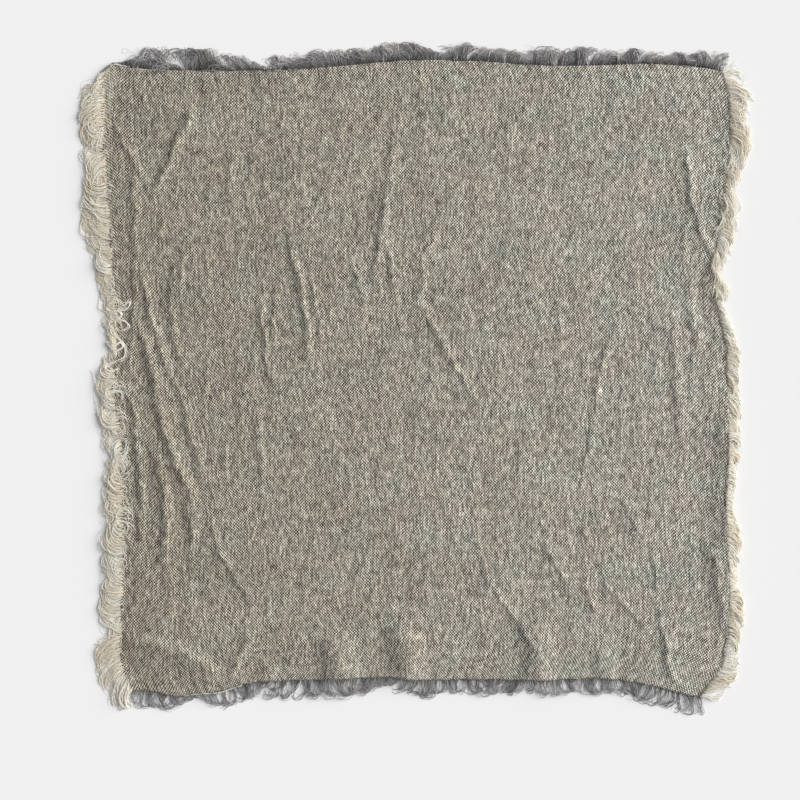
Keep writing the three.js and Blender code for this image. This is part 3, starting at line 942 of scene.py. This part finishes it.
@dataclass(frozen=True)
class WovenCloth:
    """The napkin's woven ground: one thin sheet with its creases and its fine crinkle."""

    outline: Outline
    relief: Relief
    finish: ChambrayLinen
    cells: int = 288
    under_cells: int = 72
    thickness: float = 0.9
    crinkle_room: float = 0.45
    crinkle_height: float = 0.15
    crinkle_blur: tuple[float, float] = (6.0, 1.5)
    pucker_height: float = 0.3
    pucker_crest: float = 0.8
    pucker_blur: tuple[float, float] = (11.0, 3.2)
    swell_height: float = 0.15
    swell_blur: tuple[float, float] = (15.0, 11.0)
    seed: int = 11

    def heights(self, points: np.ndarray) -> np.ndarray:
        """The upper face's height over the floor.

        Args:
            points: The upper face's grid of (across, down).

        Returns:
            Heights in millimetres.
        """
        rng = np.random.default_rng(self.seed)
        cell = self.outline.width / self.cells
        crinkle, pucker, swell = (
            soft_noise(rng, points.shape[:-1], (blur[0] / cell, blur[1] / cell))
            for blur in (self.crinkle_blur, self.pucker_blur, self.swell_blur)
        )
        fine = self.crinkle_height * crinkle + self.pucker_height * (self.pucker_crest - np.abs(pucker))
        fine = np.clip(fine + self.swell_height * swell, -self.crinkle_room, self.crinkle_room)
        return self.relief.lift(points) + self.thickness + self.crinkle_room + fine

    def rim(self, cells: int) -> list[list[int]]:
        """The vertex numbers along a grid's four borders, going round it.

        Args:
            cells: How many cells the grid has each way.

        Returns:
            Four runs of numbers, each starting where the last one ends.
        """
        row = cells + 1
        return [
            list(range(row)),
            list(range(cells, row * row, row)),
            list(range(row * row - 1, row * cells - 1, -1)),
            list(range(row * cells, -1, -row)),
        ]

    def build(self) -> bpy.types.Object:
        """Makes the sheet, dresses it and gives it its place in the frame.

        Returns:
            The cloth.
        """
        shares = np.linspace(0, 1, self.cells + 1)
        under_shares = np.linspace(0, 1, self.under_cells + 1)
        upper = self.outline.weave(shares, shares)
        under = self.outline.weave(under_shares, under_shares)
        upper_z = self.heights(upper)
        under_z = np.maximum(self.relief.lift(under), 0)
        vertices = np.vstack([
            np.column_stack([self.outline.to_scene(grid).reshape(-1, 2), z.ravel()])
            for grid, z in ((upper, upper_z), (under, under_z))
        ])
        faces = []
        for cells, first, turned in ((self.cells, 0, False), (self.under_cells, (self.cells + 1) ** 2, True)):
            row = cells + 1
            corner = first + (np.arange(cells)[:, None] * row + np.arange(cells)[None, :]).ravel()
            round_cell = np.stack([corner, corner + row, corner + row + 1, corner + 1], axis=1)
            faces += [tuple(q) for q in (round_cell[:, ::-1] if turned else round_cell).tolist()]
        many = self.cells // self.under_cells
        first = (self.cells + 1) ** 2
        for above, below in zip(self.rim(self.cells), self.rim(self.under_cells)):
            for i in range(self.under_cells):
                top_run = above[i * many : (i + 1) * many + 1]
                faces.append((*top_run, first + below[i + 1], first + below[i]))
        cloth = new_object("woven_cloth_sheet", vertices, faces)
        self.chart_threads(cloth, shares, under_shares)
        dress(cloth, self.finish.make(self.outline))
        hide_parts(CLOTH_NODE)
        return cloth

    def chart_threads(self, cloth: bpy.types.Object, shares: np.ndarray, under_shares: np.ndarray) -> None:
        """Gives the cloth a map that runs along its weft and its warp.

        Args:
            cloth: The sheet.
            shares: The upper face's shares along weft and warp.
            under_shares: The underside's.
        """
        chart = np.vstack([
            np.stack(np.meshgrid(own, 1 - own), axis=-1).reshape(-1, 2) for own in (shares, under_shares)
        ])
        mesh = cloth.data
        corner = np.empty(len(mesh.loops), np.int32)
        mesh.loops.foreach_get("vertex_index", corner)
        mesh.uv_layers.new(name="threads").data.foreach_set("uv", chart[corner].astype(np.float32).ravel())


def strand_piece(
    name: str, paths: np.ndarray, radii: np.ndarray, tones: np.ndarray, sides: int = 3
) -> bpy.types.Object:
    """Makes one joined mesh of many thin strands.

    Args:
        name: The piece's name.
        paths: Each strand's points (x, y, z), in millimetres, root first.
        radii: Each strand's radius at each point.
        tones: Each strand's own tone, from 0 to 1.
        sides: Sides of a strand's section.

    Returns:
        The piece, with tone and tip recorded at its vertices.
    """
    count, steps = radii.shape
    ahead = np.gradient(paths, axis=1)
    ahead /= np.linalg.norm(ahead, axis=2, keepdims=True) + 1e-9
    beside = np.cross(ahead, np.array([0.0, 0.0, 1.0]))
    beside /= np.linalg.norm(beside, axis=2, keepdims=True) + 1e-9
    upward = np.cross(beside, ahead)
    turn = math.pi / 2 + 2 * math.pi * np.arange(sides) / sides
    ring = np.cos(turn)[:, None] * beside[:, :, None] + np.sin(turn)[:, None] * upward[:, :, None]
    vertices = paths[:, :, None] + radii[:, :, None, None] * ring
    number = np.arange(count * steps * sides).reshape(count, steps, sides)
    here, beyond = number[:, :-1], number[:, 1:]
    quads = np.stack([here, np.roll(here, -1, 2), np.roll(beyond, -1, 2), beyond], axis=-1)
    faces = [tuple(q) for q in quads.reshape(-1, 4).tolist()]
    faces += [tuple(cap) for cap in number[:, 0, ::-1].tolist()]
    faces += [tuple(cap) for cap in number[:, -1].tolist()]
    piece = new_object(name, vertices.reshape(-1, 3), faces)
    tip = np.broadcast_to(np.linspace(0, 1, steps)[None, :, None], number.shape)
    tone = np.broadcast_to(tones[:, None, None], number.shape)
    for label, values in (("tone", tone), ("tip", tip)):
        layer = piece.data.attributes.new(label, "FLOAT", "POINT")
        layer.data.foreach_set("value", np.ascontiguousarray(values, np.float32).ravel())
    return piece


class Strands(NamedTuple):
    """How frayed strands grow: where along the edge, which way, how far, how high, and in what tone."""

    share: np.ndarray
    lean: np.ndarray
    curl: np.ndarray
    reach: np.ndarray
    loft: np.ndarray
    wave: np.ndarray
    start: np.ndarray
    tone: np.ndarray


@dataclass(frozen=True)
class Fringe:
    """One side's frayed yarn ends. Neighbours cling together in locks that curl as one.

    Each yarn is opened into plies, whose radii are listed from the stoutest to single hairs. The leans are in
    degrees, and a spread is the range or the deviation of what is drawn.
    """

    side: Side
    outline: Outline
    relief: Relief
    finish: FrayedYarn
    yarns: int
    plies: tuple[float, ...]
    lock_yarns: tuple[int, int]
    late_curl: float
    unruly: float
    wiggle: float
    root_height: float
    root_inside: tuple[float, float]
    flop: float
    beyond: tuple[float, float]
    seed: int
    gather: float = 3.0
    steps: int = 15
    spacing_spread: tuple[float, float] = (0.25, 0.75)
    drift_mm: float = 9.0
    drift_lean: float = 6.0
    own_hand: float = 0.35
    curl_spread: tuple[float, float] = (0.55, 1.15)
    sway: float = 0.5
    sway_onset: float = 0.7
    sway_waves: tuple[float, float] = (0.6, 1.5)
    wiggle_least: float = 0.4
    wiggle_onset: float = 0.6
    wiggle_waves: tuple[tuple[float, float], ...] = ((0.8, 1.6), (1.8, 3.2))
    shortest: float = 0.82
    nested: float = 0.1
    reach_spread: tuple[float, float] = (0.95, 1.12)
    least_out: float = 0.5
    past_end: float = 0.25
    tone_spread: tuple[float, float, float] = (0.17, 0.13, 0.1)
    stray_most: float = 1.3
    stray_share: float = 0.3
    stray_lean: float = 12.0
    stray_curl: float = 0.3
    ply_curl: tuple[float, float] = (1.2, 0.5)
    radius_spread: tuple[float, float] = (0.8, 1.2)
    tip_taper: float = 0.65
    root_spread: tuple[float, float] = (0.85, 1.1)
    loft: float = 2.6
    lock_loft: tuple[float, float] = (0.1, 1.0)
    ply_loft: tuple[float, float] = (0.6, 1.1)
    cloth_top: float = 1.5
    cloth_edge: float = 0.3

    def read(self, along: np.ndarray, column: str) -> np.ndarray:
        """Reads a column of the side's fray table.

        Args:
            along: Distances along the side.
            column: The column's name.

        Returns:
            Its value at each distance.
        """
        rows = FRAYS[self.side]
        return np.interp(along, [row.along for row in rows], [getattr(row, column) for row in rows])

    def locks(self, rng: np.random.Generator) -> tuple[np.ndarray, np.ndarray]:
        """Gathers neighbouring yarns into locks.

        Args:
            rng: The seeded source.

        Returns:
            Each yarn's lock number, and its place across the lock from -1 to 1.
        """
        sizes = rng.integers(self.lock_yarns[0], self.lock_yarns[1] + 1, self.yarns)
        lock = np.repeat(np.arange(self.yarns), sizes)[: self.yarns]
        first = np.searchsorted(lock, lock)
        size = np.bincount(lock)[lock]
        return lock, 2 * (np.arange(self.yarns) - first + 0.5) / size - 1

    def ways(self, share: np.ndarray) -> tuple[np.ndarray, np.ndarray]:
        """Finds the directions out of the edge and along it.

        Args:
            share: Shares of the edge's length.

        Returns:
            Unit vectors out of the cloth, and unit vectors along the edge, in scene axes.
        """
        ahead = self.outline.edge(self.side, np.clip(share + 0.004, 0, 1))
        tangent = ahead - self.outline.edge(self.side, np.clip(share - 0.004, 0, 1))
        along_way = np.stack([tangent[:, 0], -tangent[:, 1]], axis=1)
        along_way /= np.linalg.norm(along_way, axis=1, keepdims=True)
        out_way = np.stack([-along_way[:, 1], along_way[:, 0]], axis=1)
        out_way *= np.sign(out_way @ np.array(self.side.outward))[:, None]
        return out_way, along_way

    def draw_yarns(self, rng: np.random.Generator) -> Strands:
        """Draws what a lock's yarns have in common, drifting along the side.

        Args:
            rng: The seeded source.

        Returns:
            The yarns, with leans, curls and reaches still to be set against the fray table.
        """
        many = self.yarns
        share = (np.arange(many) + rng.uniform(*self.spacing_spread, many)) / many
        lock, place = self.locks(rng)
        drift_blur = (0, self.drift_mm * many / self.outline.edge_length(self.side))
        drift, twist = (soft_noise(rng, (1, many), drift_blur)[0][lock] for _ in range(2))
        lean = self.unruly * rng.normal(0, 1, many)[lock] + self.drift_lean * drift - self.gather * place
        hand = np.sign(twist + self.own_hand * rng.normal(0, 1, many)[lock])
        curl = rng.uniform(*self.curl_spread, many)[lock] * hand
        reach = rng.uniform(self.shortest, 1, many)[lock] * (1 - self.nested * (1 + place * hand))
        loft = rng.uniform(*self.lock_loft, many)[lock]
        wave = rng.uniform(*self.sway_waves, many)[lock]
        start = rng.uniform(0, 1, many)[lock]
        tone = 0.5 + self.tone_spread[0] * rng.normal(0, 1, many)[lock]
        tone = tone + self.tone_spread[1] * rng.normal(0, 1, many)
        return Strands(share, lean, curl, reach, loft, wave, start, tone)

    def open_plies(self, rng: np.random.Generator, stray: np.ndarray) -> tuple[Strands, np.ndarray]:
        """Opens each yarn into plies: the thinner one is, the farther it strays from its lock.

        Args:
            rng: The seeded source.
            stray: How far each ply strays.

        Returns:
            The plies, and the points (across, down) of the edge that they leave from.
        """
        many = len(stray)
        ply = Strands(*(np.repeat(value, len(self.plies)) for value in self.draw_yarns(rng)))
        share = ply.share + self.stray_share * stray * rng.normal(0, 1, many) / self.yarns
        share = np.clip(share, 0.001, 0.999)
        edge = self.outline.edge(self.side, share)
        along = edge[:, int(self.side.upright)]
        reach = ply.reach * self.read(along, "reach") * rng.uniform(*self.reach_spread, many)
        lean = self.read(along, "lean") + ply.lean + self.stray_lean * stray * rng.normal(0, 1, many)
        curl = ply.curl * (self.ply_curl[0] - self.ply_curl[1] * stray)
        curl = curl + self.stray_curl * stray * rng.normal(0, 1, many)
        curl = curl * np.radians(self.read(along, "curl"))
        tone = np.clip(ply.tone + self.tone_spread[2] * rng.normal(0, 1, many), 0, 1)
        return ply._replace(share=share, lean=np.radians(lean), curl=curl, reach=reach, tone=tone), edge

    def curl_out(
        self, rng: np.random.Generator, ply: Strands, stray: np.ndarray, along: np.ndarray
    ) -> np.ndarray:
        """Draws the plies' flat paths.

        Args:
            rng: The seeded source.
            ply: The plies.
            stray: How far each ply strays.
            along: Where along the side each ply leaves the edge.

        Returns:
            Each ply's points, as distances out of the edge and along it.
        """
        many = len(stray)
        s = np.linspace(0, 1, self.steps)[None, :]
        waves = sum(
            np.sin(2 * math.pi * (rng.uniform(low, high, (many, 1)) * s + rng.uniform(0, 1, (many, 1))))
            for low, high in self.wiggle_waves
        )
        sway = np.sin(2 * math.pi * (ply.wave[:, None] * s + ply.start[:, None]))
        heading = ply.lean[:, None] + ply.curl[:, None] * s**self.late_curl
        heading = heading + self.sway * sway * s**self.sway_onset
        heading = heading + self.wiggle * (self.wiggle_least + stray[:, None]) * waves * s**self.wiggle_onset
        step = np.stack([np.cos(heading), np.sin(heading)], axis=-1)[:, 1:] / (self.steps - 1)
        path = np.concatenate([np.zeros((many, 1, 2)), np.cumsum(step, axis=1)], axis=1)
        path *= (ply.reach / np.maximum(path[:, :, 0].max(axis=1), self.least_out))[:, None, None]

        # A strand near a corner turns back before it is far past the side's end.
        ends = along.min() - self.beyond[0], along.max() + self.beyond[1]
        kept = np.clip(path[:, :, 1], (ends[0] - along)[:, None], (ends[1] - along)[:, None])
        path[:, :, 1] = kept + (path[:, :, 1] - kept) * self.past_end
        return path

    def build(self) -> bpy.types.Object:
        """Makes the fringe, dresses it and gives it its place in the frame.

        Returns:
            The fringe.
        """
        rng = np.random.default_rng(self.seed)
        radius = np.tile(self.plies, self.yarns)
        many = len(radius)
        stray = self.stray_most - radius / max(self.plies)
        ply, edge = self.open_plies(rng, stray)
        path = self.curl_out(rng, ply, stray, edge[:, int(self.side.upright)])

        # Roots lie inside the weave. What curls back past the edge lies on the cloth.
        s = np.linspace(0, 1, self.steps)[None, :]
        out_way, along_way = self.ways(ply.share)
        inside = rng.uniform(*self.root_inside, (many, 1))
        out = np.where(path[:, :, 0] < 0, self.flop * path[:, :, 0], path[:, :, 0]) - inside * (1 - s) ** 3
        flat = self.outline.to_scene(edge)[:, None] + out[..., None] * out_way[:, None]
        flat = flat + path[:, :, 1:] * along_way[:, None]
        radii = radius[:, None] * rng.uniform(*self.radius_spread, (many, 1)) * (1 - self.tip_taper * s**3)
        lift = self.relief.lift(edge).clip(0)[:, None]
        root = lift + self.root_height * rng.uniform(*self.root_spread, (many, 1))
        height = radii + root * (1 - s) ** 1.5
        rise = self.loft * ply.loft[:, None] * rng.uniform(*self.ply_loft, (many, 1))
        height = height + rise * np.sin(math.pi * s**0.75)
        over_cloth = (out < self.cloth_edge) & (s > 0.2)
        height = np.where(over_cloth, np.maximum(height, lift + self.cloth_top + rise / 3 + radii), height)
        paths = np.concatenate([flat, height[..., None]], axis=-1)

        piece = strand_piece(f"fringe_{self.side.value}_yarns", paths, radii, ply.tone)
        dress(piece, self.finish.make())
        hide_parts(f"fringe_{self.side.value}")
        return piece


@dataclass(frozen=True)
class EdgeThreads:
    """The outermost threads, half out of the weave and lying loose along the edges."""

    name: str
    rows: tuple[EdgeThread, ...]
    outline: Outline
    relief: Relief
    finish: FrayedYarn
    radius: float = 0.42
    tone: float = 0.7
    spacing: float = 1.5
    waver: float = 0.3
    waver_steps: float = 6.0
    height: float = 1.25
    bob: float = 0.15
    bob_steps: float = 4.0
    seed: int = 41

    def build(self) -> bpy.types.Object:
        """Makes the threads, dresses them and gives them their place in the frame.

        Returns:
            The threads, as one piece.
        """
        rng = np.random.default_rng(self.seed)
        steps = max(int((row.end - row.start) / self.spacing) for row in self.rows)
        paths = []
        for row in self.rows:
            line = self.outline.curve(row.side)
            along = np.linspace(row.start, row.end, steps)
            order = line[:, int(row.side.upright)]
            points = np.stack([np.interp(along, order, line[:, i]) for i in (0, 1)], axis=-1)
            stray = row.out + self.waver * soft_noise(rng, (1, steps), (0, self.waver_steps))[0]
            flat = self.outline.to_scene(points) + stray[:, None] * np.array(row.side.outward)
            bob = self.bob * soft_noise(rng, (1, steps), (0, self.bob_steps))[0]
            paths.append(np.column_stack([flat, self.relief.lift(points).clip(0) + self.height + bob]))
        radii = np.full((len(paths), steps), self.radius)
        piece = strand_piece(self.name, np.array(paths), radii, np.full(len(paths), self.tone), sides=5)
        dress(piece, self.finish.make())
        return piece


@dataclass(frozen=True)
class LooseCurls:
    """Frayed yarns that flopped back and lie curled on the cloth beside the left edge."""

    outline: Outline
    relief: Relief
    finish: FrayedYarn
    copies: int = 4
    spread: float = 0.8
    waver: float = 0.4
    waver_steps: float = 5.0
    radius: float = 0.36
    height: float = 1.9
    bob: float = 0.3
    steps: int = 36
    seed: int = 51

    def build(self) -> bpy.types.Object:
        """Makes the curls, dresses them and gives them their place in the frame.

        Returns:
            The curls, as one piece.
        """
        rng = np.random.default_rng(self.seed)
        paths = []
        for rows in LOOSE_CURLS:
            line = smooth_line(np.array(rows), 12)
            picks = np.linspace(0, len(line) - 1, self.steps)
            line = np.stack([np.interp(picks, np.arange(len(line)), line[:, i]) for i in (0, 1)], axis=-1)
            for _ in range(self.copies):
                noise = soft_noise(rng, (3, self.steps), (0, self.waver_steps))
                points = line + self.spread * (rng.normal(0, 0.7, 2) + self.waver * noise[:2].T)
                z = self.relief.lift(points).clip(0) + self.height + self.bob * noise[2]
                paths.append(np.column_stack([self.outline.to_scene(points), z]))
        radii = np.full((len(paths), self.steps), self.radius) * rng.uniform(0.5, 1.1, (len(paths), 1))
        tones = rng.uniform(0.3, 1.0, len(paths))
        piece = strand_piece("loose_curls_cream", np.array(paths), radii, tones, sides=4)
        dress(piece, self.finish.make())
        return piece


@dataclass(frozen=True)
class Studio:
    """A pale floor, soft light from the right and a camera straight above."""

    outline: Outline
    floor_size_m: float = 6.0
    floor_colour: str = "#E8E8E8"
    view_mm: float = 576.0
    view_centre: tuple[float, float] = (216.0, 245.5)
    camera_height_m: float = 1.9
    sensor_mm: float = 36.0
    sun_elevation: float = 30.0
    sun_azimuth: float = 18.0
    sun_strength: float = 4.9
    sun_spread: float = 56.0
    sun_colour: str = "#FFFDF9"
    sky_colour: str = "#F2F6FF"
    sky_strength: float = 0.345

    def build(self) -> None:
        """Makes the floor, the light and the camera."""
        self.lay_floor()
        self.light()
        self.place_camera()

    def lay_floor(self) -> None:
        """Lays a plain matt floor at the height that the napkin rests on."""
        half = self.floor_size_m / 2 / MM
        corners = np.array([(-half, -half, 0), (half, -half, 0), (half, half, 0), (-half, half, 0)], float)
        floor = new_object("floor", corners, [(0, 1, 2, 3)])
        material, tree = new_material("floor_matt_paper")
        paper = add_node(
            tree, "ShaderNodeBsdfPrincipled",
            {"Base Color": linear(self.floor_colour), "Roughness": 0.9, "Specular IOR Level": 0.1},
        )
        add_node(tree, "ShaderNodeOutputMaterial", {"Surface": paper.outputs[0]})
        floor.data.materials.append(material)

    def light(self) -> None:
        """Sets a broad low light from the right, and an even sky."""
        sun = bpy.data.lights.new("window", "SUN")
        sun.energy = self.sun_strength
        sun.angle = math.radians(self.sun_spread)
        sun.color = linear(self.sun_colour)[:3]
        lamp = bpy.data.objects.new("window", sun)
        tilt, turn = math.radians(90 - self.sun_elevation), math.radians(90 + self.sun_azimuth)
        lamp.rotation_euler = (tilt, 0.0, turn)
        bpy.context.scene.collection.objects.link(lamp)
        world = bpy.data.worlds.new("studio")
        world.use_nodes = True
        sky = world.node_tree.nodes["Background"]
        sky.inputs["Color"].default_value = linear(self.sky_colour)
        sky.inputs["Strength"].default_value = self.sky_strength
        bpy.context.scene.world = world
        bpy.context.scene.view_settings.view_transform = "Standard"

        # Light finds its way deep into pale frayed yarn.
        bpy.context.scene.cycles.max_bounces = 24
        bpy.context.scene.cycles.diffuse_bounces = 24

        # Single threads are about a pixel wide, and smoothing them first would take them for noise.
        bpy.context.scene.cycles.denoising_prefilter = "NONE"

    def place_camera(self) -> None:
        """Looks straight down on the napkin, framed as a square image."""
        camera = bpy.data.cameras.new("camera")
        camera.sensor_width = self.sensor_mm
        camera.lens = self.sensor_mm * self.camera_height_m / (self.view_mm * MM)
        eye = bpy.data.objects.new("camera", camera)
        x, y = self.outline.to_scene(np.array(self.view_centre)) * MM
        eye.location = (x, y, self.camera_height_m)
        bpy.context.scene.collection.objects.link(eye)
        bpy.context.scene.camera = eye


# Each yarn's root colour is painted shade at the base of its strands.
CREAM_YARN = FrayedYarn(
    name="undyed_linen_yarn_frayed", slot="cream_yarn", root="#EFE8DA", light="#FFFFFB", dark="#FCF6E9",
    root_shade_share=0.12,
)
GREY_YARN = FrayedYarn(
    name="grey_linen_yarn_frayed", slot="grey_yarn", root="#7C7977", light="#F6F4F4", dark="#979493",
    root_shade_share=0.45,
)

# Radii of a yarn's plies, in millimetres.
STOUT_PLIES = (0.46, 0.3, 0.12)
FINE_PLIES = (0.34, 0.19, 0.07)
SPARSE_PLIES = (0.32, 0.15)


def main() -> None:
    """Builds the napkin and its studio, and reports each piece."""
    logging.basicConfig(level=logging.INFO, format="%(name)s: %(message)s")
    outline, relief = Outline(), Relief()
    cloth = WovenCloth(outline, relief, ChambrayLinen()).build()
    fringes = [
        Fringe(
            Side.TOP, outline, relief, GREY_YARN, yarns=432, plies=FINE_PLIES, lock_yarns=(4, 10),
            late_curl=1.9, unruly=18, wiggle=0.8, root_height=0.5, root_inside=(0.1, 0.6), flop=0.1,
            beyond=(0, 2), seed=21,
        ).build(),
        Fringe(
            Side.BOTTOM, outline, relief, GREY_YARN, yarns=330, plies=SPARSE_PLIES, lock_yarns=(1, 4),
            late_curl=2.2, unruly=20, wiggle=0.5, root_height=0.5, root_inside=(0.1, 0.6), flop=0.1,
            beyond=(2, 6), seed=22,
        ).build(),
        Fringe(
            Side.LEFT, outline, relief, CREAM_YARN, yarns=413, plies=STOUT_PLIES, lock_yarns=(4, 8),
            late_curl=1.1, unruly=15, wiggle=0.35, root_height=0.95, root_inside=(0.2, 2.2), flop=1.0,
            beyond=(0, 9), seed=23, gather=-6.0,
        ).build(),
        Fringe(
            Side.RIGHT, outline, relief, CREAM_YARN, yarns=413, plies=STOUT_PLIES, lock_yarns=(3, 7),
            late_curl=1.2, unruly=16, wiggle=0.4, root_height=0.95, root_inside=(0.2, 1.8), flop=0.6,
            beyond=(6, 8), seed=24,
        ).build(),
    ]
    threads = [
        EdgeThreads("edge_threads_cream", CREAM_THREADS, outline, relief, CREAM_YARN).build(),
        EdgeThreads("edge_threads_grey", GREY_THREADS, outline, relief, GREY_YARN).build(),
        LooseCurls(outline, relief, CREAM_YARN).build(),
    ]
    Studio(outline).build()
    for piece in (cloth, *fringes, *threads):
        log.info("%s: %d faces", piece.name, len(piece.data.polygons))


if __name__ == "__main__":
    main()
